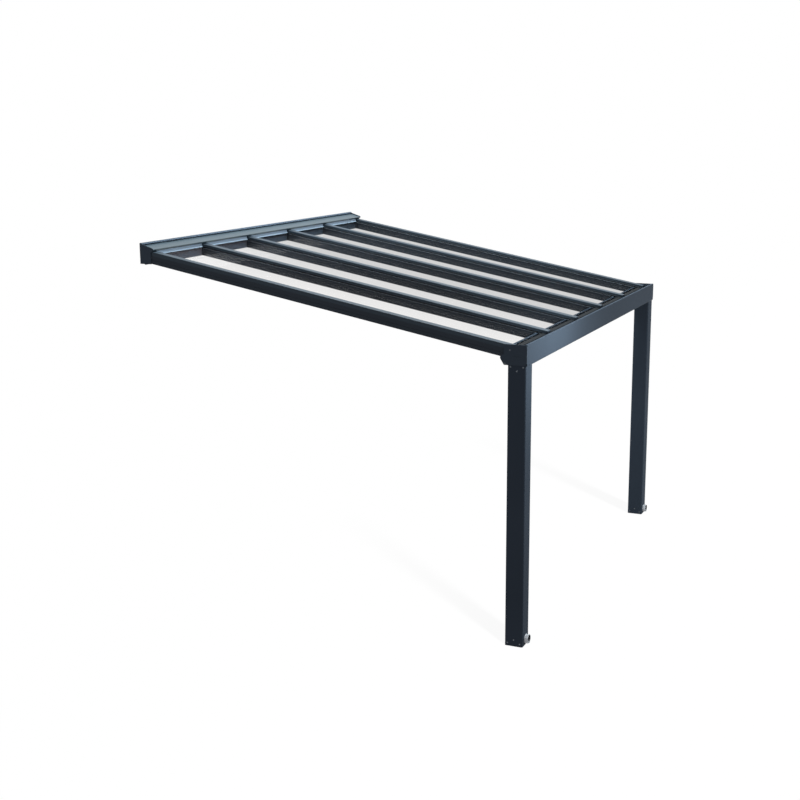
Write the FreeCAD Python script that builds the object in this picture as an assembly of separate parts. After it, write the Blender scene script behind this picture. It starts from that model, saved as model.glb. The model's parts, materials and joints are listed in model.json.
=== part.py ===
import FreeCAD, Part
import math
import os

from FreeCAD import Vector

os.makedirs("parts", exist_ok=True)

# Patio awning: a glazed lean-to roof on a wall profile, a front gutter and two posts.
# X runs along the wall, Y runs into the wall and Z is up. The origin is on the back
# face of the wall profile, in the middle of its width, ORIGIN_HEIGHT above the ground.

# Driving sizes of the whole awning
TOTAL_WIDTH = 4000.0
PROJECTION = 3500.0
POST_HEIGHT = 2287.0
ROOF_ABOVE_POST = 131.0
ROOF_RISE = 642.0
ORIGIN_HEIGHT = 3020.0
BAY_COUNT = 5
END_CAP_THICKNESS = 4.7
WALL = 3.5

# Rafters and their cover strips, heights measured straight down from the roof top plane
RAFTER_WIDTH = 69.0
RAFTER_DEPTH = 105.0
RAFTER_INSET = 4.0
SPINE_WIDTH = 20.0
RAFTER_WALL = 2.5
FLUTE_DEPTH = 2.5
FLUTE_WIDTH = 8.0
FLUTE_BELOW_GLASS = 36.0
CAP_WIDTH = 72.8
CAP_WALL = 2.5
CAP_EDGE_RADIUS = 4.0
CAP_BEAD = 7.0
CAP_OVERHANG = 2.5
CAP_END = 90.0
END_PLATE_THICKNESS = 3.0

# Glass, its low edge channels and the sealing lips at its upper edge
GLASS_DROP = 27.0
GLASS_THICKNESS = 8.0
GLASS_SIDE_GAP = 3.0
GLASS_END_GAP = 8.0
TRIM_WALL = 3.0
TRIM_DEPTH = 35.0
LIP_REACH = 15.0
LIP_HEAD = 3.0
LIP_EDGE = 1.0
LIP_STEPS = 5

# Gutter, depths measured from the front face of the posts toward the wall
FASCIA_FRONT = -7.0
FASCIA_WALL = 3.0
FASCIA_ABOVE_POST = 164.0
FASCIA_BELOW_POST = 4.5
FASCIA_RIM = 18.0
FASCIA_RIM_BEVEL = 2.5
FASCIA_BEVEL = 4.0
FASCIA_BEVEL_HEIGHT = 7.5
FASCIA_TOE = 2.0
GUTTER_CORNER = 12.0
GUTTER_FLOOR_END = 179.0
GUTTER_NOSE = 210.0
GUTTER_NOSE_RISE = 50.0
GUTTER_REAR_WALL = 183.5
GUTTER_REST_DEPTH = 16.0
GUTTER_FRONT_STEP = 8.0
END_CAP_REAR = 180.0
END_CAP_STEP = 1.5
END_CAP_CORNER = 11.0
END_CAP_BEVEL = 14.0
END_CAP_BEVEL_HEIGHT = 22.0
OUTLET_DIAMETER = 80.0

# Wall profile and its cover, depths measured out from the wall
WALL_BOX_DEPTH = 110.0
BOX_ABOVE_ROOF = 2.4
BOX_BELOW_RAFTER = 2.8
BOX_WEB_SHARE = 0.53
RIDGE_RISE = 68.0
RIDGE_DEPTH = 28.0
RIDGE_DROP = 23.0
RIDGE_BEVEL = 10.0
RIDGE_LIP = 12.0
RIDGE_GROOVE = 6.0
DRIP_DEPTH = 53.0
DRIP_WIDTH = 20.0
DRIP_HEIGHT = 6.0
COVER_WALL = 3.0
COVER_FALL = 28.7
COVER_OVERHANG = 29.0
COVER_NOSE_FACE = 3.0
COVER_NOSE_TURN = 13.0
COVER_SEAT = 12.0
END_PLATE_MARGIN = 1.0
END_PLATE_STEP = 10.0

# Wall anchors, one row of holes through the back flange of the wall profile
ANCHOR_DIAMETER = 11.0
ANCHOR_PITCH = 340.0
ANCHOR_COUNT = 12

# Posts, feet and drain spouts
POST_SIZE = 150.0
POST_WALL = 3.0
POST_RADIUS = 13.0
FOOT_CLEARANCE = 0.3
FOOT_PLATE = 10.0
FOOT_HEIGHT = 72.0
FOOT_WALL = 5.0
FOOT_HOLE_SPACING = 100.0
FOOT_HOLE_DIAMETER = 12.0
SPOUT_DIAMETER = 75.0
SPOUT_WALL = 3.0
SPOUT_REACH = 31.0
SPOUT_NECK = 1.0
SPOUT_ABOVE_PLATE = 4.5
SPOUT_COLLAR = 6.0
SPOUT_COLLAR_LENGTH = 5.0
SPOUT_COLLAR_GAP = 1.0
SPOUT_TAIL = 30.0
SPOUT_FIT = 0.2

# Places worked out from the sizes above
ROOF_SLOPE = ROOF_RISE / PROJECTION
RAFTER_COUNT = BAY_COUNT + 1
FIRST_RAFTER_X = -TOTAL_WIDTH / 2 + RAFTER_INSET + RAFTER_WIDTH / 2
BAY_PITCH = -2 * FIRST_RAFTER_X / BAY_COUNT
ROOF_TOP_AT_FRONT = POST_HEIGHT + ROOF_ABOVE_POST
WALL_BOX_FRONT = PROJECTION - WALL_BOX_DEPTH
WALL_BOX_TOP = ROOF_TOP_AT_FRONT + ROOF_SLOPE * WALL_BOX_FRONT + BOX_ABOVE_ROOF
WALL_BOTTOM = ROOF_TOP_AT_FRONT + ROOF_SLOPE * WALL_BOX_FRONT - RAFTER_DEPTH - BOX_BELOW_RAFTER
WALL_WEB_HEIGHT = WALL_BOTTOM + BOX_WEB_SHARE * (WALL_BOX_TOP - WALL_BOTTOM)
WALL_TOP = WALL_BOX_TOP + RIDGE_RISE
RIDGE_FRONT = PROJECTION - RIDGE_DEPTH
RIDGE_FOOT = WALL_TOP - RIDGE_DROP
RIDGE_GROOVE_BACK = RIDGE_FRONT + RIDGE_GROOVE
COVER_NOSE = WALL_BOX_FRONT - COVER_OVERHANG
COVER_NOSE_TOP = RIDGE_FOOT - COVER_FALL
ANCHOR_HEIGHT = (WALL_BOX_TOP + WALL_TOP) / 2
FASCIA_TOP = POST_HEIGHT + FASCIA_ABOVE_POST
FASCIA_FOOT = POST_HEIGHT - FASCIA_BELOW_POST
GUTTER_FRONT = FASCIA_FRONT + FASCIA_WALL
GLASS_LOW_END = CAP_END + GLASS_END_GAP
GLASS_UNDERSIDE_DROP = GLASS_DROP + GLASS_THICKNESS
FLUTE_DROP = GLASS_UNDERSIDE_DROP + FLUTE_BELOW_GLASS
POST_X = TOTAL_WIDTH / 2 - POST_SIZE / 2
SPOUT_HEIGHT = FOOT_PLATE + SPOUT_ABOVE_PLATE + SPOUT_DIAMETER / 2


def place(x, out, height):
    """A point: out from the front face of the posts toward the wall, height above ground."""
    return Vector(x, out - PROJECTION, height - ORIGIN_HEIGHT)


def roof(out, drop=0.0):
    """Height above ground of the roof top plane, less a drop, at a distance from the front."""
    return ROOF_TOP_AT_FRONT + ROOF_SLOPE * out - drop


def face_of(points):
    return Part.Face(Part.makePolygon(points + [points[0]]))


def along_wall(section, x_start, x_end):
    """A bar along the wall from a section of (out, height) points."""
    points = [place(x_start, out, height) for out, height in section]
    return face_of(points).extrude(Vector(x_end - x_start, 0, 0))


def down_roof(section, x_centre, out_start, out_end):
    """A bar down the roof slope from a section of (across, drop) points, with upright ends."""
    points = [place(x_centre + across, out_start, roof(out_start, drop)) for across, drop in section]
    length = out_end - out_start
    return face_of(points).extrude(Vector(0, length, length * ROOF_SLOPE))


def save(name, shape):
    shape.exportStep("parts/" + name + ".step")


def rafter_x(index):
    return FIRST_RAFTER_X + index * BAY_PITCH


def rectangle(left, top, right, bottom):
    return [(left, top), (right, top), (right, bottom), (left, bottom)]


def rafter_section():
    """Half width and drop of the outline: spine, glass rest, fluted side and underside."""
    side = RAFTER_WIDTH / 2
    spine = SPINE_WIDTH / 2
    right = [
        (spine, CAP_WALL),
        (spine, GLASS_UNDERSIDE_DROP),
        (side, GLASS_UNDERSIDE_DROP),
        (side, FLUTE_DROP - FLUTE_WIDTH / 2),
        (side - FLUTE_DEPTH, FLUTE_DROP - FLUTE_WIDTH / 2 + FLUTE_DEPTH),
        (side - FLUTE_DEPTH, FLUTE_DROP + FLUTE_WIDTH / 2 - FLUTE_DEPTH),
        (side, FLUTE_DROP + FLUTE_WIDTH / 2),
        (side, RAFTER_DEPTH),
    ]
    left = [(-across, drop) for across, drop in reversed(right)]
    return right + left


def rafter(x):
    """Hollow rafter; its spine runs on over the gutter and its box stops at the gutter."""
    body = down_roof(rafter_section(), x, GUTTER_REAR_WALL, WALL_BOX_FRONT)
    box_half = RAFTER_WIDTH / 2 - FLUTE_DEPTH - RAFTER_WALL
    box_top = GLASS_UNDERSIDE_DROP + RAFTER_WALL
    box_hollow = rectangle(-box_half, box_top, box_half, RAFTER_DEPTH - RAFTER_WALL)
    spine_half = SPINE_WIDTH / 2 - RAFTER_WALL
    spine_top = CAP_WALL + RAFTER_WALL
    spine_hollow = rectangle(-spine_half, spine_top, spine_half, GLASS_UNDERSIDE_DROP - RAFTER_WALL)
    tail = down_roof(
        rectangle(-SPINE_WIDTH / 2, CAP_WALL, SPINE_WIDTH / 2, GLASS_UNDERSIDE_DROP),
        x, CAP_END, GUTTER_REAR_WALL)
    body = body.fuse(tail).removeSplitter()
    body = body.cut(down_roof(box_hollow, x, GUTTER_REAR_WALL, WALL_BOX_FRONT))
    return body.cut(down_roof(spine_hollow, x, CAP_END, WALL_BOX_FRONT))


def rafter_cap(x, left_leg, right_leg):
    """Cover strip over a rafter: a flat top that overhangs two legs, which press on the glass."""
    half = CAP_WIDTH / 2
    leg = half - CAP_OVERHANG
    inside = leg - CAP_WALL
    corner = CAP_EDGE_RADIUS * (1 - math.sqrt(0.5))
    outline = [
        (-leg, left_leg),
        (-leg, CAP_BEAD),
        (-half, CAP_BEAD),
        (-half, CAP_EDGE_RADIUS),
        (-half + corner, corner),
        (-half + CAP_EDGE_RADIUS, 0),
        (half - CAP_EDGE_RADIUS, 0),
        (half - corner, corner),
        (half, CAP_EDGE_RADIUS),
        (half, CAP_BEAD),
        (leg, CAP_BEAD),
        (leg, right_leg),
        (inside, right_leg),
        (inside, CAP_BEAD),
        (inside - CAP_EDGE_RADIUS, CAP_WALL),
        (-inside + CAP_EDGE_RADIUS, CAP_WALL),
        (-inside, CAP_BEAD),
        (-inside, left_leg),
    ]
    return down_roof(outline, x, CAP_END, WALL_BOX_FRONT)


def rafter_end_plate(x):
    """Thin plate closing the low end of a rafter and its cover strip."""
    outline = rectangle(-CAP_WIDTH / 2, 0, CAP_WIDTH / 2, GLASS_UNDERSIDE_DROP)
    return down_roof(outline, x, CAP_END - END_PLATE_THICKNESS, CAP_END)


def glass_pane(x_middle):
    half = BAY_PITCH / 2 - SPINE_WIDTH / 2 - GLASS_SIDE_GAP
    outline = rectangle(-half, GLASS_DROP, half, GLASS_UNDERSIDE_DROP)
    return down_roof(outline, x_middle, GLASS_LOW_END, WALL_BOX_FRONT)


def glass_trim(x_middle):
    """Channel round the low edge of a pane, between two cover strips."""
    half = (BAY_PITCH - CAP_WIDTH) / 2
    front = GLASS_LOW_END - TRIM_WALL
    rear = front + TRIM_DEPTH
    top = GLASS_DROP
    foot = GLASS_UNDERSIDE_DROP
    section = [
        (front, roof(front, top - TRIM_WALL)),
        (rear, roof(rear, top - TRIM_WALL)),
        (rear, roof(rear, top)),
        (GLASS_LOW_END, roof(GLASS_LOW_END, top)),
        (GLASS_LOW_END, roof(GLASS_LOW_END, foot)),
        (rear, roof(rear, foot)),
        (rear, roof(rear, foot + TRIM_WALL)),
        (front, roof(front, foot + TRIM_WALL)),
    ]
    return along_wall(section, x_middle - half, x_middle + half)


def glass_lip(x_middle):
    """Sealing lip between a pane and the wall cover: a cove that starts flush with the glass."""
    half = (BAY_PITCH - CAP_WIDTH) / 2
    foot = WALL_BOX_FRONT - LIP_REACH
    head = WALL_BOX_FRONT - LIP_HEAD
    rise = WALL_BOX_TOP - roof(head, GLASS_DROP) - LIP_EDGE
    section = [(foot, roof(foot, GLASS_DROP))]
    for step in range(LIP_STEPS + 1):
        turn = math.pi / 2 * step / LIP_STEPS
        out = foot + (head - foot) * math.sin(turn)
        section.append((out, roof(out, GLASS_DROP) + LIP_EDGE + rise * (1 - math.cos(turn))))
    section.append((WALL_BOX_FRONT, WALL_BOX_TOP))
    section.append((WALL_BOX_FRONT, roof(WALL_BOX_FRONT, GLASS_DROP)))
    return along_wall(section, x_middle - half, x_middle + half)


def drip_rib():
    """Section points of the rib under the wall profile."""
    front = PROJECTION - DRIP_DEPTH - DRIP_WIDTH / 2
    back = PROJECTION - DRIP_DEPTH + DRIP_WIDTH / 2
    return [
        (front, WALL_BOTTOM),
        (front + DRIP_HEIGHT, WALL_BOTTOM - DRIP_HEIGHT),
        (back - DRIP_HEIGHT, WALL_BOTTOM - DRIP_HEIGHT),
        (back, WALL_BOTTOM),
    ]


def wall_profile():
    """Two-chamber box on the wall, with a tall back flange, a bevelled ridge and a drip rib."""
    half = TOTAL_WIDTH / 2
    back = PROJECTION
    outline = [
        (back, WALL_TOP),
        (RIDGE_FRONT + RIDGE_BEVEL, WALL_TOP),
        (RIDGE_FRONT, WALL_TOP - RIDGE_BEVEL),
        (RIDGE_FRONT, WALL_TOP - RIDGE_LIP),
        (RIDGE_GROOVE_BACK, WALL_TOP - RIDGE_LIP),
        (RIDGE_GROOVE_BACK, RIDGE_FOOT),
        (RIDGE_GROOVE_BACK + WALL, RIDGE_FOOT),
        (RIDGE_GROOVE_BACK + WALL, WALL_TOP - RIDGE_LIP),
        (RIDGE_GROOVE_BACK + 2 * WALL, WALL_TOP - WALL),
        (back - WALL, WALL_TOP - WALL),
        (back - WALL, WALL_BOX_TOP),
        (WALL_BOX_FRONT, WALL_BOX_TOP),
        (WALL_BOX_FRONT, WALL_BOTTOM),
    ]
    outline += drip_rib() + [(back, WALL_BOTTOM)]
    body = along_wall(outline, -half, half)
    inner_front = WALL_BOX_FRONT + WALL
    inner_back = back - WALL
    upper = rectangle(inner_front, WALL_BOX_TOP - WALL, inner_back, WALL_WEB_HEIGHT + WALL / 2)
    lower = rectangle(inner_front, WALL_WEB_HEIGHT - WALL / 2, inner_back, WALL_BOTTOM + WALL)
    body = body.cut(along_wall(upper, -half, half))
    body = body.cut(along_wall(lower, -half, half))
    for index in range(ANCHOR_COUNT):
        x = (index - (ANCHOR_COUNT - 1) / 2) * ANCHOR_PITCH
        start = place(x, back - 2 * WALL, ANCHOR_HEIGHT)
        body = body.cut(Part.makeCylinder(ANCHOR_DIAMETER / 2, 3 * WALL, start, Vector(0, 1, 0)))
    return body


def wall_cover():
    """Cover from under the ridge's groove out over the upper ends of the rafters, with a bevelled nose."""
    turn = COVER_NOSE + COVER_NOSE_TURN
    seat_back = WALL_BOX_FRONT + COVER_SEAT
    hook_back = RIDGE_GROOVE_BACK + WALL
    outline = [
        (hook_back, RIDGE_FOOT),
        (RIDGE_FRONT, RIDGE_FOOT),
        (COVER_NOSE, COVER_NOSE_TOP),
        (COVER_NOSE, COVER_NOSE_TOP - COVER_NOSE_FACE),
        (turn, WALL_BOX_TOP),
        (seat_back, WALL_BOX_TOP),
        (seat_back, WALL_BOX_TOP + COVER_WALL),
        (turn + COVER_WALL / 2, WALL_BOX_TOP + COVER_WALL),
        (COVER_NOSE + COVER_WALL * 1.5, COVER_NOSE_TOP - COVER_WALL),
        (RIDGE_FRONT, RIDGE_FOOT - COVER_WALL),
        (hook_back, RIDGE_FOOT - COVER_WALL),
    ]
    return along_wall(outline, -TOTAL_WIDTH / 2, TOTAL_WIDTH / 2)


def wall_end_cap(side):
    """Plate closing one end of the wall profile and its cover."""
    margin = END_PLATE_MARGIN
    turn = COVER_NOSE + COVER_NOSE_TURN
    outline = [
        (PROJECTION, WALL_TOP),
        (RIDGE_FRONT + RIDGE_BEVEL, WALL_TOP),
        (RIDGE_FRONT + margin, WALL_TOP - RIDGE_BEVEL),
        (COVER_NOSE + COVER_NOSE_TURN, COVER_NOSE_TOP + END_PLATE_STEP),
        (COVER_NOSE + margin, COVER_NOSE_TOP + margin),
        (COVER_NOSE, COVER_NOSE_TOP - COVER_NOSE_FACE),
        (turn, WALL_BOX_TOP),
        (WALL_BOX_FRONT, WALL_BOX_TOP - END_PLATE_STEP),
        (WALL_BOX_FRONT, WALL_BOTTOM),
    ]
    outline += drip_rib() + [(PROJECTION, WALL_BOTTOM)]
    edge = side * TOTAL_WIDTH / 2
    return along_wall(outline, edge, edge + side * END_CAP_THICKNESS)


def gutter():
    """Open trough with a hollow nose that the rafters rest on and an outlet over each post."""
    half = TOTAL_WIDTH / 2
    front = GUTTER_FRONT
    front_top = FASCIA_TOP - GUTTER_FRONT_STEP
    rear = GUTTER_REAR_WALL
    rest = rear - GUTTER_REST_DEPTH
    floor = POST_HEIGHT + WALL
    nose_bend = POST_HEIGHT + GUTTER_NOSE_RISE
    nose_slope = GUTTER_NOSE_RISE / (GUTTER_NOSE - GUTTER_FLOOR_END)
    wall_foot = POST_HEIGHT + (rear - WALL - GUTTER_FLOOR_END) * nose_slope + 2 * WALL
    outline = [
        (front, front_top),
        (front, POST_HEIGHT + GUTTER_CORNER),
        (front + GUTTER_CORNER, POST_HEIGHT),
        (GUTTER_FLOOR_END, POST_HEIGHT),
        (GUTTER_NOSE, nose_bend),
        (GUTTER_NOSE, roof(GUTTER_NOSE, RAFTER_DEPTH)),
        (rear, roof(rear, RAFTER_DEPTH)),
        (rear, roof(rear, GLASS_UNDERSIDE_DROP)),
        (rest, roof(rest, GLASS_UNDERSIDE_DROP)),
        (rest, roof(rest, GLASS_UNDERSIDE_DROP + WALL)),
        (rear - WALL, roof(rear - WALL, GLASS_UNDERSIDE_DROP + WALL)),
        (rear - WALL, wall_foot),
        (GUTTER_FLOOR_END - WALL / 2, floor),
        (front + GUTTER_CORNER + WALL / 2, floor),
        (front + WALL, POST_HEIGHT + GUTTER_CORNER + WALL / 2),
        (front + WALL, front_top),
    ]
    body = along_wall(outline, -half, half)
    nose_hollow = [
        (rear, wall_foot),
        (GUTTER_NOSE - WALL, nose_bend),
        (GUTTER_NOSE - WALL, roof(GUTTER_NOSE - WALL, RAFTER_DEPTH + WALL)),
        (rear, roof(rear, RAFTER_DEPTH + WALL)),
    ]
    body = body.cut(along_wall(nose_hollow, -half, half))
    for side in (-1, 1):
        start = place(side * POST_X, POST_SIZE / 2, POST_HEIGHT - WALL)
        body = body.cut(Part.makeCylinder(OUTLET_DIAMETER / 2, 3 * WALL, start))
    return body


def gutter_fascia():
    """Flat front board of the gutter, with a bevelled rim turned back at its top and a bevelled foot."""
    back = FASCIA_FRONT + FASCIA_WALL
    rim_back = FASCIA_FRONT + FASCIA_RIM
    bevel_top = FASCIA_FOOT + FASCIA_BEVEL_HEIGHT
    toe = FASCIA_FRONT + FASCIA_BEVEL
    outline = [
        (FASCIA_FRONT, bevel_top),
        (FASCIA_FRONT, FASCIA_TOP - FASCIA_RIM_BEVEL),
        (FASCIA_FRONT + FASCIA_RIM_BEVEL, FASCIA_TOP),
        (rim_back, FASCIA_TOP),
        (rim_back, FASCIA_TOP - FASCIA_WALL),
        (back + FASCIA_RIM_BEVEL / 2, FASCIA_TOP - FASCIA_WALL),
        (back, FASCIA_TOP - FASCIA_RIM_BEVEL),
        (back, bevel_top),
        (toe + FASCIA_TOE, FASCIA_FOOT + FASCIA_TOE),
        (toe, FASCIA_FOOT),
    ]
    return along_wall(outline, -TOTAL_WIDTH / 2, TOTAL_WIDTH / 2)


def gutter_end_cap(side):
    """Plate closing one end of the gutter."""
    top = FASCIA_TOP - END_CAP_STEP
    nose_top = roof(GUTTER_NOSE, RAFTER_DEPTH)
    nose_corner = END_CAP_CORNER / 2
    outline = [
        (FASCIA_FRONT, POST_HEIGHT + END_CAP_BEVEL_HEIGHT),
        (FASCIA_FRONT, top - END_CAP_CORNER),
        (FASCIA_FRONT + END_CAP_CORNER, top),
        (END_CAP_REAR, top),
        (END_CAP_REAR, nose_top + 2 * END_CAP_CORNER),
        (GUTTER_NOSE - nose_corner, nose_top + nose_corner),
        (GUTTER_NOSE, nose_top - nose_corner),
        (GUTTER_NOSE, POST_HEIGHT + GUTTER_NOSE_RISE),
        (GUTTER_FLOOR_END, POST_HEIGHT),
        (FASCIA_FRONT + END_CAP_BEVEL, POST_HEIGHT),
    ]
    edge = side * TOTAL_WIDTH / 2
    return along_wall(outline, edge, edge + side * END_CAP_THICKNESS)


def rounded_prism(x, size, radius, bottom, top):
    """Upright square bar with rounded edges, centred over the middle of a post."""
    corner = place(x - size / 2, (POST_SIZE - size) / 2, bottom)
    bar = Part.makeBox(size, size, top - bottom, corner)
    upright = [edge for edge in bar.Edges if abs(edge.tangentAt(edge.FirstParameter).z) > 0.5]
    return bar.makeFillet(radius, upright)


def spout_bar(x, radius, out_start, out_end):
    """Round bar along the spout axis."""
    return Part.makeCylinder(radius, out_end - out_start, place(x, out_start, SPOUT_HEIGHT), Vector(0, 1, 0))


def post(x):
    """Square tube from the ground to the gutter, with a hole for the drain spout."""
    outer = rounded_prism(x, POST_SIZE, POST_RADIUS, 0, POST_HEIGHT)
    inner = rounded_prism(x, POST_SIZE - 2 * POST_WALL, POST_RADIUS - POST_WALL, 0, POST_HEIGHT)
    hole_radius = SPOUT_DIAMETER / 2 - SPOUT_NECK + SPOUT_FIT
    hole = spout_bar(x, hole_radius, -POST_WALL, 2 * POST_WALL)
    return outer.cut(inner).cut(hole)


def post_foot(x):
    """Anchor foot inside the post: a base plate with an upstand that the post slides over."""
    size = POST_SIZE - 2 * POST_WALL - 2 * FOOT_CLEARANCE
    radius = POST_RADIUS - POST_WALL - FOOT_CLEARANCE
    body = rounded_prism(x, size, radius, 0, FOOT_HEIGHT)
    body = body.cut(rounded_prism(x, size - 2 * FOOT_WALL, radius - FOOT_WALL, FOOT_PLATE, FOOT_HEIGHT))
    passage_radius = SPOUT_DIAMETER / 2 + SPOUT_COLLAR + SPOUT_COLLAR_GAP
    passage = spout_bar(x, passage_radius, 0, POST_SIZE / 2)
    above_plate = Part.makeBox(
        POST_SIZE, POST_SIZE, FOOT_HEIGHT, place(x - POST_SIZE / 2, 0, FOOT_PLATE))
    body = body.cut(passage.common(above_plate))
    for dx in (-1, 1):
        for dy in (-1, 1):
            start = place(
                x + dx * FOOT_HOLE_SPACING / 2,
                POST_SIZE / 2 + dy * FOOT_HOLE_SPACING / 2,
                -FOOT_PLATE)
            body = body.cut(Part.makeCylinder(FOOT_HOLE_DIAMETER / 2, 3 * FOOT_PLATE, start))
    return body


def drain_spout(x):
    """Short pipe on the front of the post: its neck passes the wall and carries a collar inside."""
    radius = SPOUT_DIAMETER / 2
    body = spout_bar(x, radius, -SPOUT_REACH, -SPOUT_NECK)
    neck = spout_bar(x, radius - SPOUT_NECK, -SPOUT_NECK, SPOUT_TAIL)
    collar = spout_bar(x, radius + SPOUT_COLLAR, POST_WALL, POST_WALL + SPOUT_COLLAR_LENGTH)
    bore = spout_bar(x, radius - SPOUT_WALL, -2 * SPOUT_REACH, 2 * SPOUT_TAIL)
    floor = Part.makeBox(POST_SIZE, POST_SIZE, FOOT_PLATE, place(x - POST_SIZE / 2, 0, 0))
    return body.fuse(neck).fuse(collar).cut(bore).cut(floor)


save("wall_profile", wall_profile())
save("wall_cover", wall_cover())
save("gutter", gutter())
save("gutter_fascia", gutter_fascia())

for side, side_name in ((-1, "left"), (1, "right")):
    save("wall_end_cap_" + side_name, wall_end_cap(side))
    save("gutter_end_cap_" + side_name, gutter_end_cap(side))
    save("post_" + side_name, post(side * POST_X))
    save("post_foot_" + side_name, post_foot(side * POST_X))
    save("drain_spout_" + side_name, drain_spout(side * POST_X))

end_plates = []
for index in range(RAFTER_COUNT):
    x = rafter_x(index)
    left_leg = GLASS_UNDERSIDE_DROP if index == 0 else GLASS_DROP
    right_leg = GLASS_UNDERSIDE_DROP if index == RAFTER_COUNT - 1 else GLASS_DROP
    save("rafter_%d" % (index + 1), rafter(x))
    save("rafter_cap_%d" % (index + 1), rafter_cap(x, left_leg, right_leg))
    end_plates.append(rafter_end_plate(x))
save("rafter_end_plates", Part.makeCompound(end_plates))

for index in range(BAY_COUNT):
    middle = rafter_x(index) + BAY_PITCH / 2
    save("glass_pane_%d" % (index + 1), glass_pane(middle))
    save("glass_trim_%d" % (index + 1), glass_trim(middle))
    save("glass_lip_%d" % (index + 1), glass_lip(middle))
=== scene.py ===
import json
import math

import bmesh
import bpy
from mathutils import Matrix, Vector


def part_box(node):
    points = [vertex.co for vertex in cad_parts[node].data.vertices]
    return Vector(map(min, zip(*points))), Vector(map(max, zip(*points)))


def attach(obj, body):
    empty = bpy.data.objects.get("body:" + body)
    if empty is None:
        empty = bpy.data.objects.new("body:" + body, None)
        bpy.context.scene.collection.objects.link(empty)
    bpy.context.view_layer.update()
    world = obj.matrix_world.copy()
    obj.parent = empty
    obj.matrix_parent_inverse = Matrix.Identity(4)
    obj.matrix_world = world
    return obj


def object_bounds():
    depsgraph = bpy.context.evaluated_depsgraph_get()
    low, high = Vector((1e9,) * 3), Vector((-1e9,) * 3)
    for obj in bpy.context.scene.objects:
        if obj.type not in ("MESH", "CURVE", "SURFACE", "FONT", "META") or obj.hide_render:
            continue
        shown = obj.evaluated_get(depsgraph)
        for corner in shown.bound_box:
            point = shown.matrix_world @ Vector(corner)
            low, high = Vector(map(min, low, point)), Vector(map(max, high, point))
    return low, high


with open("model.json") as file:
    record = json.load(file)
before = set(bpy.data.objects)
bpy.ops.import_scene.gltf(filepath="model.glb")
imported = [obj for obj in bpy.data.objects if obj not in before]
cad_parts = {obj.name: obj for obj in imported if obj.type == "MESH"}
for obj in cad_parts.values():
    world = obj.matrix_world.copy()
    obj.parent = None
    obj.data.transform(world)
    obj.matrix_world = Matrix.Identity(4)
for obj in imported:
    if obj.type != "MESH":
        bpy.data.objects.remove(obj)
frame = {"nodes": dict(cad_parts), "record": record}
cad_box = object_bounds()

# Patio awning, dressed for its picture. Metres; X along the wall, Y into it, Z up.

# Screws, with a six-sided socket and a washer
SCREW_RADIUS = 0.0052
SCREW_HEIGHT = 0.0036
SOCKET_RADIUS = 0.0024
SOCKET_DEPTH = 0.0020
WASHER_RADIUS = 0.0064
WASHER_THICKNESS = 0.0010
WASHER_BEVEL = 0.0004
SCREW_STEPS = 24
END_PLATE_SCREW_SCALE = 0.75

# Roof: the cover strips' legs and overhang, the glass, and the beads of rubber round it
RAFTER_COUNT = 6
CAP_LEG = 0.027
CAP_OVERHANG = 0.0025
GLASS_THICKNESS = 0.008
GASKET_WIDTH = 0.0045
GASKET_BULGE = 0.0014
SEAL_WIDTH = 0.003
SEAL_HEIGHT = 0.003
BEAD_FRONT_INSET = 0.012
BEAD_REAR_INSET = 0.016

# Drain spouts and the ribs of the end plates
DRAIN_BORE_RADIUS = 0.0345
# Width over which the painted shade inside the spout's bore fades in
BORE_SHADE_EDGE = 0.0006
RIB_LENGTH = 0.067
RIB_HEIGHT = 0.004
RIB_PROUD = 0.003
RIB_TAPER = 0.6
RIB_FRONT = 0.045
RIB_UP = 0.072

# Camera, from the fit of the photograph's edges: angles in radians, lens in millimetres
CAMERA_PLACE = Vector((-11.090793, -6.600516, 1.102018))
CAMERA_YAW = 1.141876867722819
CAMERA_PITCH = 0.21520046769785908
CAMERA_ROLL = -0.007540379543980144
CAMERA_LENS = 57.583


def linear(red, green, blue):
    """A colour as a screen shows it, 0 to 255, turned into the linear value a shader takes."""
    values = []
    for channel in (red, green, blue):
        share = channel / 255
        values.append(share / 12.92 if share <= 0.04045 else ((share + 0.055) / 1.055) ** 2.4)
    return values + [1.0]


# Helpers for meshes

def new_piece(name, mesh, material):
    """Put a finished mesh into the scene as a named piece that rides with the awning."""
    piece = bpy.data.objects.new(name, mesh)
    bpy.context.scene.collection.objects.link(piece)
    if material is not None:
        mesh.materials.clear()
        mesh.materials.append(material)
    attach(piece, "root")
    return piece


def mesh_from(build, name):
    """Make a mesh with a function that fills an empty shape, with all faces outwards."""
    shape = bmesh.new()
    build(shape)
    bmesh.ops.remove_doubles(shape, verts=shape.verts, dist=0.00001)
    bmesh.ops.recalc_face_normals(shape, faces=shape.faces)
    mesh = bpy.data.meshes.new(name)
    shape.to_mesh(mesh)
    shape.free()
    return mesh


def add_prism(shape, first_ring, second_ring):
    """Closed bar between two rings of the same number of points."""
    lower = [shape.verts.new(point) for point in first_ring]
    upper = [shape.verts.new(point) for point in second_ring]
    count = len(lower)
    shape.faces.new(lower[::-1])
    shape.faces.new(upper)
    for index in range(count):
        following = (index + 1) % count
        shape.faces.new((lower[index], lower[following], upper[following], upper[index]))


def lathe(shape, profile, steps):
    """Turn a profile of (radius, height) points about the Z axis."""
    rings = []
    for radius, height in profile:
        if radius == 0:
            rings.append([shape.verts.new((0, 0, height))])
            continue
        ring = []
        for step in range(steps):
            angle = 2 * math.pi * step / steps
            ring.append(shape.verts.new((radius * math.cos(angle), radius * math.sin(angle), height)))
        rings.append(ring)
    for near, far in zip(rings, rings[1:]):
        for step in range(steps):
            following = (step + 1) % steps
            if len(near) == 1:
                shape.faces.new((near[0], far[step], far[following]))
            elif len(far) == 1:
                shape.faces.new((near[step], far[0], near[following]))
            else:
                shape.faces.new((near[step], far[step], far[following], near[following]))


# Helpers for materials

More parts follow.
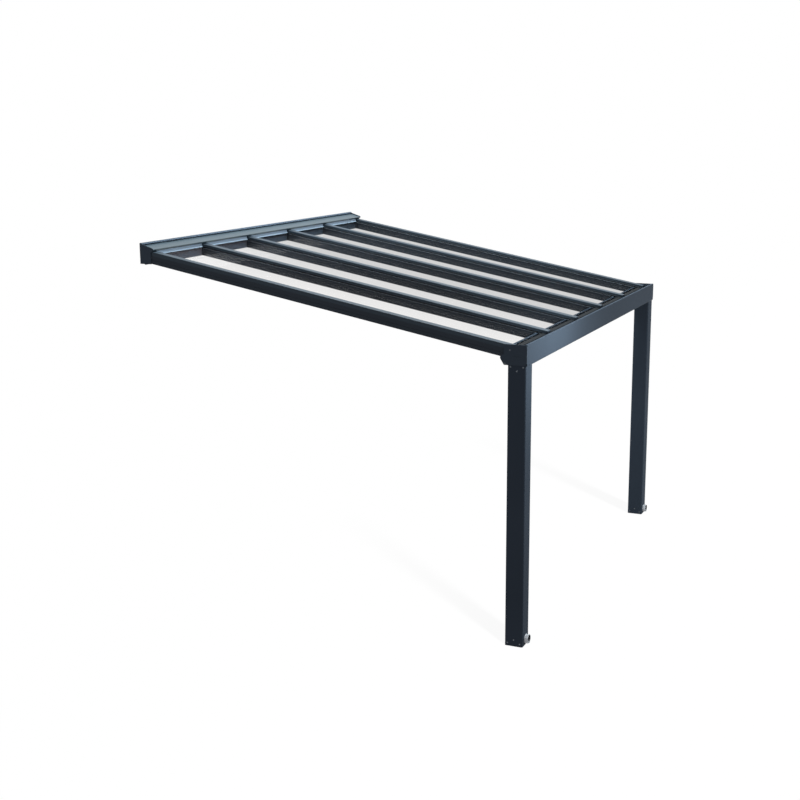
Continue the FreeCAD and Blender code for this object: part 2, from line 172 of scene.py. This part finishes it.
class Surface:
    """A node material with one shader, built node by node."""

    def __init__(self, name):
        self.material = bpy.data.materials.new(name)
        self.material.use_nodes = True
        self.nodes = self.material.node_tree.nodes
        self.links = self.material.node_tree.links
        self.shader = self.nodes["Principled BSDF"]
        self.output = self.nodes["Material Output"]
        self.place = self.nodes.new("ShaderNodeTexCoord")

    def link(self, start, end):
        """Join an output socket to an input socket."""
        self.links.new(start, end)

    def noise(self, scale, detail=3.0, roughness=0.5, stretch=None):
        """Noise fixed to the object, stretched by a factor for each axis where one is given."""
        texture = self.nodes.new("ShaderNodeTexNoise")
        texture.inputs["Scale"].default_value = scale
        texture.inputs["Detail"].default_value = detail
        texture.inputs["Roughness"].default_value = roughness
        source = self.place.outputs["Object"]
        if stretch is not None:
            mapping = self.nodes.new("ShaderNodeMapping")
            mapping.inputs["Scale"].default_value = stretch
            self.link(source, mapping.inputs["Vector"])
            source = mapping.outputs["Vector"]
        self.link(source, texture.inputs["Vector"])
        return texture.outputs["Fac"]

    def spread(self, source, low, high, from_low=0.0, from_high=1.0):
        """Stretch a value from one range to another."""
        node = self.nodes.new("ShaderNodeMapRange")
        node.inputs["From Min"].default_value = from_low
        node.inputs["From Max"].default_value = from_high
        node.inputs["To Min"].default_value = low
        node.inputs["To Max"].default_value = high
        self.link(source, node.inputs["Value"])
        return node.outputs["Result"]

    def mix(self, amount, first, second):
        """Mix two colours, each given as a value or as a socket."""
        node = self.nodes.new("ShaderNodeMix")
        node.data_type = "RGBA"
        self.link(amount, node.inputs["Factor"])
        for value, socket in ((first, node.inputs[6]), (second, node.inputs[7])):
            if isinstance(value, bpy.types.NodeSocket):
                self.link(value, socket)
            else:
                socket.default_value = value
        return node.outputs[2]

    def measure(self, operation, first, second=None):
        """Work out one value from another value and, where needed, a number or a second value."""
        node = self.nodes.new("ShaderNodeMath")
        node.operation = operation
        for value, socket in ((first, node.inputs[0]), (second, node.inputs[1])):
            if isinstance(value, bpy.types.NodeSocket):
                self.link(value, socket)
            elif value is not None:
                socket.default_value = value
        return node.outputs["Value"]

    def bump(self, height, strength, distance):
        """Let a value raise the surface a little."""
        node = self.nodes.new("ShaderNodeBump")
        node.inputs["Strength"].default_value = strength
        node.inputs["Distance"].default_value = distance
        self.link(height, node.inputs["Height"])
        self.link(node.outputs["Normal"], self.shader.inputs["Normal"])

    def set(self, socket, value):
        """Set one plain value of the shader."""
        self.shader.inputs[socket].default_value = value


# Powder coat: how far its mottle and flecks leave the plain colour, and its sheen the plain roughness
MOTTLE_DARK = 0.94
MOTTLE_PALE = 1.06
FLECK_PALE = 1.3
SHEEN_SWING = 0.02


def shade(colour, factor):
    """The same colour, made darker or paler by a factor."""
    return [channel * factor for channel in colour[:3]] + [1.0]


def powder_coat(name, colour, roughness, specular):
    """Baked powder coat: fine orange peel, a faint mottle in colour and an uneven sheen."""
    surface = Surface(name)
    mottle = surface.spread(surface.noise(1.1, 3.0, 0.5), 0, 1, 0.3, 0.7)
    tint = surface.mix(mottle, shade(colour, MOTTLE_DARK), shade(colour, MOTTLE_PALE))
    grain = surface.spread(surface.noise(420.0, 2.0, 0.6), 0, 0.25, 0.55, 0.75)
    speckled = surface.mix(grain, tint, shade(colour, FLECK_PALE))
    surface.link(speckled, surface.shader.inputs["Base Color"])
    cloud = surface.noise(60.0, 3.0, 0.5)
    sheen = surface.spread(cloud, roughness - SHEEN_SWING, roughness + SHEEN_SWING, 0.3, 0.7)
    surface.link(sheen, surface.shader.inputs["Roughness"])
    peel = surface.noise(750.0, 2.0, 0.5)
    surface.bump(peel, 0.05, 0.0003)
    surface.set("Specular IOR Level", specular)
    return surface.material


# Roof glass: tints of each face and of lamplight, and how pale it is at two places along the roof, a painted
# reflection that makes the left end lighter
GLASS_TINT_DEEP = [0.776, 0.778, 0.780, 1.0]
GLASS_TINT_PALE = [0.940, 0.937, 0.934, 1.0]
GLASS_SHADOW_TINT = [0.9, 0.92, 0.93, 1.0]
GLASS_LEFT = -1.9
GLASS_LEFT_PAINTED_REFLECTION = 0.8
GLASS_MIDDLE = -0.2
GLASS_MIDDLE_PAINTED_REFLECTION = 0.05


def clear_glass():
    """Flat roof glass: a faint grey tint to look through, paler towards the left end as a painted
    reflection, a weak mirror, and clear to lamps.
    """
    surface = Surface("clear roof glass")
    haze = surface.spread(surface.noise(3.0, 3.0, 0.5), 0.07, 0.13, 0.35, 0.65)
    place = surface.nodes.new("ShaderNodeSeparateXYZ")
    surface.link(surface.place.outputs["Object"], place.inputs["Vector"])
    # Painted reflection: the tint grows paler towards the left end, on top of the random haze.
    across = surface.spread(
        place.outputs["X"], GLASS_LEFT_PAINTED_REFLECTION, GLASS_MIDDLE_PAINTED_REFLECTION, GLASS_LEFT, GLASS_MIDDLE)
    haze_and_painted_reflection = surface.measure("ADD", haze, across)
    tint = surface.mix(haze_and_painted_reflection, GLASS_TINT_DEEP, GLASS_TINT_PALE)
    surface.link(tint, surface.shader.inputs["Base Color"])
    film = surface.noise(30.0, 3.0, 0.6)
    surface.link(surface.spread(film, 0.0, 0.03, 0.4, 0.8), surface.shader.inputs["Roughness"])
    surface.set("Transmission Weight", 1.0)
    surface.set("IOR", 1.5)
    through = surface.nodes.new("ShaderNodeBsdfTransparent")
    surface.link(tint, through.inputs["Color"])
    mirror = surface.nodes.new("ShaderNodeMixShader")
    surface.link(surface.spread(film, 0.010, 0.016, 0.4, 0.8), mirror.inputs["Fac"])
    surface.link(through.outputs["BSDF"], mirror.inputs[1])
    surface.link(surface.shader.outputs["BSDF"], mirror.inputs[2])
    clear = surface.nodes.new("ShaderNodeBsdfTransparent")
    clear.inputs["Color"].default_value = GLASS_SHADOW_TINT
    rays = surface.nodes.new("ShaderNodeLightPath")
    blend = surface.nodes.new("ShaderNodeMixShader")
    surface.link(rays.outputs["Is Shadow Ray"], blend.inputs["Fac"])
    surface.link(mirror.outputs["Shader"], blend.inputs[1])
    surface.link(clear.outputs["BSDF"], blend.inputs[2])
    surface.link(blend.outputs["Shader"], surface.output.inputs["Surface"])
    return surface.material


def drain_plastic():
    """Smooth light grey pipe plastic with fine lines along its length, and painted shade that turns its bore
    black.
    """
    surface = Surface("light grey pipe plastic")
    cloud = surface.noise(35.0, 3.0, 0.5)
    tint = surface.mix(cloud, linear(228, 234, 240), linear(240, 244, 248))
    low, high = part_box("drain_spout_right")
    place = surface.nodes.new("ShaderNodeSeparateXYZ")
    surface.link(surface.place.outputs["Object"], place.inputs["Vector"])
    aside = surface.measure("ABSOLUTE", place.outputs["X"])
    across = surface.measure("SUBTRACT", aside, (low[0] + high[0]) / 2)
    above = surface.measure("SUBTRACT", place.outputs["Z"], (low[2] + high[2]) / 2)
    across_squared = surface.measure("MULTIPLY", across, across)
    above_squared = surface.measure("MULTIPLY", above, above)
    from_axis = surface.measure("SQRT", surface.measure("ADD", across_squared, above_squared))
    # Painted shade: inside the bore the colour turns near black, where shade falls in the pipe.
    bore_shade_end = DRAIN_BORE_RADIUS + BORE_SHADE_EDGE
    bore_shade = surface.spread(from_axis, 1.0, 0.0, bore_shade_end - BORE_SHADE_EDGE / 2, bore_shade_end)
    tint = surface.mix(bore_shade, tint, linear(14, 14, 16))
    surface.link(tint, surface.shader.inputs["Base Color"])
    lines = surface.noise(260.0, 2.0, 0.5, (1.0, 0.06, 1.0))
    surface.link(surface.spread(lines, 0.28, 0.42), surface.shader.inputs["Roughness"])
    surface.bump(lines, 0.15, 0.0002)
    return surface.material


def cast_metal():
    """Bare cast aluminium of the anchor feet."""
    surface = Surface("bare cast metal")
    cloud = surface.noise(22.0, 5.0, 0.6)
    tint = surface.mix(cloud, linear(150, 152, 155), linear(186, 188, 191))
    surface.link(tint, surface.shader.inputs["Base Color"])
    sand = surface.noise(600.0, 4.0, 0.7)
    surface.link(surface.spread(sand, 0.45, 0.65), surface.shader.inputs["Roughness"])
    surface.bump(sand, 0.4, 0.0005)
    surface.set("Metallic", 1.0)
    return surface.material


def screw_steel():
    """Stainless steel of the screws, finely turned."""
    surface = Surface("stainless screw steel")
    cloud = surface.noise(160.0, 3.0, 0.5)
    tint = surface.mix(cloud, linear(86, 90, 96), linear(106, 110, 116))
    surface.link(tint, surface.shader.inputs["Base Color"])
    turned = surface.noise(1800.0, 2.0, 0.5)
    surface.link(surface.spread(turned, 0.22, 0.38), surface.shader.inputs["Roughness"])
    surface.bump(turned, 0.1, 0.0001)
    surface.set("Metallic", 1.0)
    return surface.material


def gasket_rubber(name, dark, pale):
    """Matt sealing rubber with a little dust on it."""
    surface = Surface(name)
    dust = surface.noise(60.0, 4.0, 0.6)
    tint = surface.mix(surface.spread(dust, 0, 1, 0.35, 0.75), dark, pale)
    surface.link(tint, surface.shader.inputs["Base Color"])
    skin = surface.noise(900.0, 2.0, 0.5)
    surface.link(surface.spread(skin, 0.6, 0.8), surface.shader.inputs["Roughness"])
    surface.bump(skin, 0.2, 0.0002)
    return surface.material


# The finishes, one for each material of the record, and three for the small pieces

ANTHRACITE = linear(60, 69, 80)

finishes = {
    "frame_coat": powder_coat("frame powder coat", ANTHRACITE, 0.45, 0.008),
    "end_plate_coat": powder_coat("end plate powder coat", linear(62, 72, 83), 0.52, 0.06),
    "post_coat": powder_coat("post powder coat", ANTHRACITE, 0.45, 0.006),
    "rafter_coat": powder_coat("rafter powder coat", linear(61, 68, 76), 0.50, 0.03),
    "strip_coat": powder_coat("cover strip powder coat", linear(58, 69, 79), 0.40, 0.11),
    "cover_coat": powder_coat("wall cover powder coat", linear(62, 77, 86), 0.36, 0.22),
    # Painted light: the sealing lip is coloured far paler than the anthracite coat, so that it looks lit in
    # the shade under the cover's nose.
    "lip_coat": powder_coat("sealing lip powder coat", linear(184, 207, 228), 0.50, 0.10),
    "trim_coat": powder_coat("trim powder coat", linear(29, 32, 35), 0.60, 0.04),
    "foot_metal": cast_metal(),
    "drain_plastic": drain_plastic(),
    "clear_glass": clear_glass(),
}
steel = screw_steel()
black_rubber = gasket_rubber("black sealing rubber", linear(22, 23, 25), linear(38, 40, 42))
# Seals under the panes, coloured paler than rubber would be: a painted highlight along the rafters' sides.
grey_rubber_painted_highlight = gasket_rubber("grey sealing rubber", linear(140, 150, 160), linear(158, 168, 178))

slot_of_node = {part["node"]: part["material_slot"] for part in frame["record"]["subparts"]}
for node_name, node in frame["nodes"].items():
    node.data.materials.clear()
    node.data.materials.append(finishes[slot_of_node[node_name]])


# Screws: one screw head is shaped once and set at every place by Geometry Nodes

def screw_head_mesh():
    """Low domed head on a washer, with a six-sided socket."""

    def build(shape):
        profile = [
            (WASHER_RADIUS, 0.0),
            (WASHER_RADIUS, WASHER_THICKNESS * 0.7),
            (WASHER_RADIUS - WASHER_BEVEL, WASHER_THICKNESS),
            (SCREW_RADIUS, WASHER_THICKNESS),
            (SCREW_RADIUS, WASHER_THICKNESS + SCREW_HEIGHT * 0.25),
            (SCREW_RADIUS * 0.90, SCREW_HEIGHT * 0.78),
            (SCREW_RADIUS * 0.68, SCREW_HEIGHT),
            (SOCKET_RADIUS, SCREW_HEIGHT),
            (SOCKET_RADIUS * 0.92, SCREW_HEIGHT - SOCKET_DEPTH),
            (0, SCREW_HEIGHT - SOCKET_DEPTH * 1.2),
        ]
        lathe(shape, [(0, 0.0)] + profile, SCREW_STEPS)

    return mesh_from(build, "screw head")


def screw_tree(template, material):
    """Node tree: a point with an outward direction becomes a screw head."""
    tree = bpy.data.node_groups.new("screws at points", "GeometryNodeTree")
    sockets = tree.interface
    sockets.new_socket("Points", in_out="INPUT", socket_type="NodeSocketGeometry")
    size = sockets.new_socket("Head size", in_out="INPUT", socket_type="NodeSocketFloat")
    size.default_value = 1.0
    seed = sockets.new_socket("Turn seed", in_out="INPUT", socket_type="NodeSocketInt")
    seed.default_value = 4
    sockets.new_socket("Screws", in_out="OUTPUT", socket_type="NodeSocketGeometry")
    nodes = tree.nodes
    links = tree.links
    entry = nodes.new("NodeGroupInput")
    leave = nodes.new("NodeGroupOutput")
    head = nodes.new("GeometryNodeObjectInfo")
    head.inputs["Object"].default_value = template
    outward = nodes.new("GeometryNodeInputNamedAttribute")
    outward.data_type = "FLOAT_VECTOR"
    outward.inputs["Name"].default_value = "outward"
    align = nodes.new("FunctionNodeAlignRotationToVector")
    align.axis = "Z"
    links.new(outward.outputs["Attribute"], align.inputs["Vector"])
    spin = nodes.new("FunctionNodeRandomValue")
    spin.data_type = "FLOAT"
    spin.inputs[3].default_value = 2 * math.pi
    links.new(entry.outputs["Turn seed"], spin.inputs["Seed"])
    around = nodes.new("ShaderNodeCombineXYZ")
    links.new(spin.outputs[1], around.inputs["Z"])
    turned = nodes.new("FunctionNodeEulerToRotation")
    links.new(around.outputs["Vector"], turned.inputs["Euler"])
    both = nodes.new("FunctionNodeRotateRotation")
    both.rotation_space = "LOCAL"
    links.new(align.outputs["Rotation"], both.inputs["Rotation"])
    links.new(turned.outputs["Rotation"], both.inputs["Rotate By"])
    to_points = nodes.new("GeometryNodeMeshToPoints")
    links.new(entry.outputs["Points"], to_points.inputs["Mesh"])
    spread = nodes.new("GeometryNodeInstanceOnPoints")
    links.new(to_points.outputs["Points"], spread.inputs["Points"])
    links.new(head.outputs["Geometry"], spread.inputs["Instance"])
    links.new(both.outputs["Rotation"], spread.inputs["Rotation"])
    links.new(entry.outputs["Head size"], spread.inputs["Scale"])
    real = nodes.new("GeometryNodeRealizeInstances")
    links.new(spread.outputs["Instances"], real.inputs["Geometry"])
    finish = nodes.new("GeometryNodeSetMaterial")
    finish.inputs["Material"].default_value = material
    links.new(real.outputs["Geometry"], finish.inputs["Geometry"])
    links.new(finish.outputs["Geometry"], leave.inputs["Screws"])
    return tree


def set_screws(name, places, head_size):
    """Make one mesh of screws from (point, outward direction) pairs."""
    points = bpy.data.meshes.new(name + " points")
    points.from_pydata([tuple(point) for point, outward in places], [], [])
    attribute = points.attributes.new("outward", "FLOAT_VECTOR", "POINT")
    for index, (point, outward) in enumerate(places):
        attribute.data[index].vector = outward
    template = bpy.data.objects.new("screw head template", screw_head_mesh())
    bpy.context.scene.collection.objects.link(template)
    carrier = bpy.data.objects.new(name + " carrier", points)
    bpy.context.scene.collection.objects.link(carrier)
    modifier = carrier.modifiers.new("screws", "NODES")
    tree = screw_tree(template, steel)
    modifier.node_group = tree
    for item in tree.interface.items_tree:
        if item.name == "Head size":
            modifier[item.identifier] = head_size
    evaluated = carrier.evaluated_get(bpy.context.evaluated_depsgraph_get())
    mesh = bpy.data.meshes.new_from_object(evaluated)
    carrier.modifiers.remove(modifier)
    bpy.data.objects.remove(carrier)
    bpy.data.objects.remove(template)
    return new_piece(name, mesh, None)


def post_screws():
    """Three screws near the foot on both side faces of each post and three near the head outside."""
    places = []
    edge_inset = 0.0235
    foot_row = 0.025
    foot_middle = 0.054
    head_row = 0.012
    head_middle = 0.044
    for post_name in ("post_left", "post_right"):
        low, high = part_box(post_name)
        middle = (low[1] + high[1]) / 2
        for side, x in ((-1, low[0]), (1, high[0])):
            outward = (side, 0, 0)
            outside = x * side > 0
            for y in (low[1] + edge_inset, high[1] - edge_inset):
                places.append(((x, y, low[2] + foot_row), outward))
                if outside:
                    places.append(((x, y, high[2] - head_row), outward))
            places.append(((x, middle, low[2] + foot_middle), outward))
            if outside:
                places.append(((x, middle, high[2] - head_middle), outward))
    return places


set_screws("post_screws", post_screws(), 1.0)


def end_plate_screws():
    """Two screws in each gutter end plate, given by their depth from its front and height over its foot."""
    places = []
    gutter_spots = ((0.138, 0.118), (0.176, 0.012))
    for cap_name, side in (("gutter_end_cap_left", -1), ("gutter_end_cap_right", 1)):
        low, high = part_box(cap_name)
        x = low[0] if side < 0 else high[0]
        for back, up in gutter_spots:
            places.append(((x, low[1] + back, low[2] + up), (side, 0, 0)))
    return places


set_screws("end_plate_screws", end_plate_screws(), END_PLATE_SCREW_SCALE)


# Gaskets and seals round the glass

def roof_height(y):
    """Height of the roof's top plane at a depth, from the box of a cover strip between two panes."""
    low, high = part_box("rafter_cap_2")
    slope = (high[2] - low[2] - CAP_LEG) / (high[1] - low[1])
    return high[2] - (high[1] - y) * slope


def add_slope_bar(shape, section, front, rear):
    """Bar down the roof slope from a section of (x, drop under the roof's top plane) points."""
    rings = []
    for y in (front, rear):
        rings.append([(x, y, roof_height(y) - drop) for x, drop in section])
    add_prism(shape, rings[0], rings[1])


def inner_sides(index):
    """The sides of a rafter that have a pane: -1 is left and 1 is right."""
    sides = [-1, 1]
    if index == 1:
        sides.remove(-1)
    if index == RAFTER_COUNT:
        sides.remove(1)
    return sides


def gaskets():
    """A rubber bead along each side of a cover strip where it presses on a pane."""

    def build(shape):
        for index in range(1, RAFTER_COUNT + 1):
            low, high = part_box("rafter_cap_%d" % index)
            for side in inner_sides(index):
                edge = (high[0] if side > 0 else low[0]) - side * CAP_OVERHANG
                section = [
                    (edge - side * GASKET_WIDTH, CAP_LEG),
                    (edge + side * GASKET_BULGE, CAP_LEG),
                    (edge + side * GASKET_BULGE, CAP_LEG - GASKET_BULGE),
                    (edge, CAP_LEG - 2 * GASKET_BULGE),
                    (edge - side * GASKET_WIDTH, CAP_LEG - 2 * GASKET_BULGE),
                ]
                add_slope_bar(shape, section, low[1] + BEAD_FRONT_INSET, high[1] - BEAD_REAR_INSET)

    return mesh_from(build, "glass gaskets")


new_piece("glass_gaskets", gaskets(), black_rubber)


def seals():
    """Grey beads under the panes along the rafters; their pale grey paints a highlight line along each
    rafter's side.
    """

    def build(shape):
        under_glass = CAP_LEG + GLASS_THICKNESS
        trim_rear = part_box("glass_trim_1")[1][1]
        for index in range(1, RAFTER_COUNT + 1):
            low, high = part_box("rafter_%d" % index)
            for side in inner_sides(index):
                edge = high[0] if side > 0 else low[0]
                section = [
                    (edge, under_glass),
                    (edge + side * SEAL_WIDTH, under_glass),
                    (edge + side * SEAL_WIDTH, under_glass + SEAL_HEIGHT),
                    (edge, under_glass + SEAL_HEIGHT),
                ]
                add_slope_bar(shape, section, trim_rear, high[1] - BEAD_REAR_INSET)

    return mesh_from(build, "glass seals")


new_piece("glass_seals", seals(), grey_rubber_painted_highlight)


# Low ribs on the end plates of the gutter

def end_plate_ribs():
    """One short level rib pressed out of each gutter end plate."""

    def build(shape):
        for cap_name, side in (("gutter_end_cap_left", -1), ("gutter_end_cap_right", 1)):
            low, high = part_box(cap_name)
            face = low[0] if side < 0 else high[0]
            inner = []
            outer = []
            for along, rise in ((0.0, 0.0), (RIB_LENGTH, 0.0), (RIB_LENGTH, RIB_HEIGHT), (0.0, RIB_HEIGHT)):
                y = low[1] + RIB_FRONT + along
                z = low[2] + RIB_UP + rise
                inner.append((face, y, z))
                outer.append((face + side * RIB_PROUD, y, z - rise * RIB_TAPER))
            add_prism(shape, inner, outer)

    return mesh_from(build, "end plate ribs")


new_piece("end_plate_ribs", end_plate_ribs(), finishes["strip_coat"])


# Camera at the photograph's place

def photo_camera():
    """Set the camera by its place, yaw, pitch and roll."""
    yaw = CAMERA_YAW
    pitch = CAMERA_PITCH
    forward = Vector((math.sin(yaw) * math.cos(pitch), math.cos(yaw) * math.cos(pitch), -math.sin(pitch)))
    level = Vector((math.cos(yaw), -math.sin(yaw), 0))
    upright = level.cross(forward)
    right = level * math.cos(CAMERA_ROLL) + upright * math.sin(CAMERA_ROLL)
    up = -level * math.sin(CAMERA_ROLL) + upright * math.cos(CAMERA_ROLL)
    data = bpy.data.cameras.new("photo camera")
    data.lens = CAMERA_LENS
    data.sensor_width = 36.0
    data.sensor_fit = "HORIZONTAL"
    data.clip_end = 400
    camera = bpy.data.objects.new("photo camera", data)
    turn = Matrix((right, up, -forward)).transposed()
    camera.matrix_world = Matrix.Translation(CAMERA_PLACE) @ turn.to_4x4()
    bpy.context.scene.collection.objects.link(camera)
    bpy.context.scene.camera = camera


photo_camera()


# Floor, world and lamps

# The kinds of ray that see the plain white surroundings
SEEING_RAYS = ("Is Camera Ray", "Is Glossy Ray", "Is Transmission Ray")


def ray_share(nodes, links, names):
    """A value that is 1 for the named kinds of ray, unless they lit a matt surface, and else 0."""
    rays = nodes.new("ShaderNodeLightPath")
    total = rays.outputs[names[0]]
    for name in names[1:]:
        larger = nodes.new("ShaderNodeMath")
        larger.operation = "MAXIMUM"
        links.new(total, larger.inputs[0])
        links.new(rays.outputs[name], larger.inputs[1])
        total = larger.outputs[0]
    straight = nodes.new("ShaderNodeMath")
    straight.operation = "LESS_THAN"
    links.new(rays.outputs["Diffuse Depth"], straight.inputs[0])
    straight.inputs[1].default_value = 0.5
    both = nodes.new("ShaderNodeMath")
    both.operation = "MULTIPLY"
    links.new(total, both.inputs[0])
    links.new(straight.outputs[0], both.inputs[1])
    return both.outputs[0]


# Floor: half its width, how bright it looks and how much it reflects, and the depths where shadows fade
FLOOR_HALF = 60.0
FLOOR_GLOW = 0.945
FLOOR_PALE = 0.02
FLOOR_PLAIN = 0.10
SHADOW_FADES_FROM = -3.2
SHADOW_FADES_TO = -0.4


def studio_floor():
    """Plain floor: white to the eye apart from a shadow that fades away, quiet as a light of its own."""
    ground = cad_box[0][2]
    mesh = bpy.data.meshes.new("floor")
    corners = [(x, y, ground) for y in (-FLOOR_HALF, FLOOR_HALF) for x in (-FLOOR_HALF, FLOOR_HALF)]
    mesh.from_pydata(corners, [], [(0, 1, 3, 2)])
    floor = bpy.data.objects.new("floor", mesh)
    bpy.context.scene.collection.objects.link(floor)
    material = bpy.data.materials.new("plain pale floor")
    material.use_nodes = True
    nodes = material.node_tree.nodes
    links = material.node_tree.links
    nodes.clear()
    output = nodes.new("ShaderNodeOutputMaterial")
    plain = nodes.new("ShaderNodeBsdfDiffuse")
    plain.inputs["Color"].default_value = (FLOOR_PLAIN, FLOOR_PLAIN, FLOOR_PLAIN, 1)
    glow = nodes.new("ShaderNodeEmission")
    glow.inputs["Strength"].default_value = FLOOR_GLOW
    pale = nodes.new("ShaderNodeBsdfDiffuse")
    pale.inputs["Color"].default_value = (FLOOR_PALE, FLOOR_PALE, FLOOR_PALE, 1)
    seen = nodes.new("ShaderNodeAddShader")
    links.new(glow.outputs["Emission"], seen.inputs[0])
    links.new(pale.outputs["BSDF"], seen.inputs[1])
    place = nodes.new("ShaderNodeTexCoord")
    along = nodes.new("ShaderNodeSeparateXYZ")
    links.new(place.outputs["Object"], along.inputs["Vector"])
    fading = nodes.new("ShaderNodeMapRange")
    fading.inputs["From Min"].default_value = SHADOW_FADES_FROM
    fading.inputs["From Max"].default_value = SHADOW_FADES_TO
    links.new(along.outputs["Y"], fading.inputs["Value"])
    white = nodes.new("ShaderNodeEmission")
    white.inputs["Strength"].default_value = 1.0
    faded = nodes.new("ShaderNodeMixShader")
    links.new(fading.outputs["Result"], faded.inputs["Fac"])
    links.new(seen.outputs["Shader"], faded.inputs[1])
    links.new(white.outputs["Emission"], faded.inputs[2])
    pick = nodes.new("ShaderNodeMixShader")
    links.new(ray_share(nodes, links, SEEING_RAYS), pick.inputs["Fac"])
    links.new(plain.outputs["BSDF"], pick.inputs[1])
    links.new(faded.outputs["Shader"], pick.inputs[2])
    links.new(pick.outputs["Shader"], output.inputs["Surface"])
    mesh.materials.append(material)
    return floor


# World: strength and tint of its even light
WORLD_AMBIENT = 0.34
WORLD_TINT = (0.98, 0.95, 1.0, 1)


def studio_world():
    """White behind the awning and in its reflections; a quiet even light otherwise."""
    world = bpy.data.worlds.new("studio")
    bpy.context.scene.world = world
    world.use_nodes = True
    nodes = world.node_tree.nodes
    links = world.node_tree.links
    nodes.clear()
    output = nodes.new("ShaderNodeOutputWorld")
    quiet = nodes.new("ShaderNodeBackground")
    quiet.inputs["Color"].default_value = WORLD_TINT
    quiet.inputs["Strength"].default_value = WORLD_AMBIENT
    white = nodes.new("ShaderNodeBackground")
    white.inputs["Color"].default_value = (1, 1, 1, 1)
    white.inputs["Strength"].default_value = 1.0
    pick = nodes.new("ShaderNodeMixShader")
    links.new(ray_share(nodes, links, SEEING_RAYS), pick.inputs["Fac"])
    links.new(quiet.outputs["Background"], pick.inputs[1])
    links.new(white.outputs["Background"], pick.inputs[2])
    links.new(pick.outputs["Shader"], output.inputs["Surface"])


studio_world()


def light_only(lamp, piece, state):
    """Let a lamp light only one piece (INCLUDE), or everything but that piece (EXCLUDE)."""
    group = bpy.data.collections.new(lamp.name + " receivers")
    group.objects.link(piece)
    group.collection_objects[0].light_linking.link_state = state
    lamp.light_linking.receiver_collection = group


def soft_lamp(name, place, target, size, power, colour):
    """Flat lamp at a place, turned to a target; its size is width and height in metres."""
    data = bpy.data.lights.new(name, "AREA")
    data.shape = "RECTANGLE"
    data.size, data.size_y = size
    data.energy = power
    data.color = colour
    lamp = bpy.data.objects.new(name, data)
    lamp.location = place
    aim = Vector(target) - Vector(place)
    lamp.rotation_euler = aim.to_track_quat("-Z", "Y").to_euler()
    lamp.visible_camera = False
    bpy.context.scene.collection.objects.link(lamp)
    return lamp


SKY_TINT = (0.88, 0.98, 1.0)
FRONT_TINT = (0.9, 0.98, 1.0)
BOUNCE_TINT = (0.97, 0.98, 1.0)
WARM_TINT = (1.0, 0.6, 0.46)

floor = studio_floor()

# Lamps for the whole awning
overhead = soft_lamp("overhead softbox", (0.5, -2.0, 6.0), (0, -2.0, -0.4), (5.0, 4.0), 960, SKY_TINT)
front = soft_lamp("front softbox", (2.5, -8.5, -1.2), (1.0, -3.5, -1.8), (3.0, 2.0), 125, FRONT_TINT)
corner = soft_lamp("corner softbox", (-1.4, -4.3, -0.35), (-1.4, -3.5, -0.85), (1.2, 0.3), 21, FRONT_TINT)
bounce = soft_lamp("rear bounce", (-0.45, -0.13, -0.62), (-0.45, -2.0, -0.5), (2.9, 0.5), 26, BOUNCE_TINT)
rear = soft_lamp("rear softbox", (2.0, 6.0, 2.0), (0, 0, -0.6), (3.0, 2.0), 420, FRONT_TINT)
for lamp in (overhead, front, corner, bounce, rear):
    light_only(lamp, floor, "EXCLUDE")

# Lamps for the wall profile
ridge = soft_lamp("light on the ridge", (0, -0.9, 1.5), (0, 0, 0.1), (4.0, 0.3), 90, SKY_TINT)
warm = soft_lamp("warm low light", (-1.6, -1.3, -0.8), (-1.3, -0.11, -0.35), (1.0, 0.4), 26, WARM_TINT)
for lamp in (ridge, warm):
    light_only(lamp, frame["nodes"]["wall_profile"], "INCLUDE")

for lamp in (bounce, ridge, warm):
    lamp.visible_glossy = False


# Low sun: its strength, its width in degrees, the way its light travels, and the pieces that shade the floor
SUN_POWER = 27.5
SUN_WIDTH = 6
SUN_TRAVEL = (0.885, 1.0, -0.41)
SUN_BLOCKERS = ("post_left", "post_right", "drain_spout_left", "drain_spout_right")


def low_sun(floor):
    """Low light from the front left that only draws the faint shadows of the posts on the floor."""
    data = bpy.data.lights.new("low sun", "SUN")
    data.energy = SUN_POWER
    data.angle = math.radians(SUN_WIDTH)
    lamp = bpy.data.objects.new("low sun", data)
    lamp.rotation_euler = Vector(SUN_TRAVEL).to_track_quat("-Z", "Y").to_euler()
    bpy.context.scene.collection.objects.link(lamp)
    light_only(lamp, floor, "INCLUDE")
    blockers = bpy.data.collections.new("low sun blockers")
    for node_name in SUN_BLOCKERS:
        blockers.objects.link(frame["nodes"][node_name])
    lamp.light_linking.blocker_collection = blockers


low_sun(floor)

bpy.context.scene.view_settings.view_transform = "Standard"
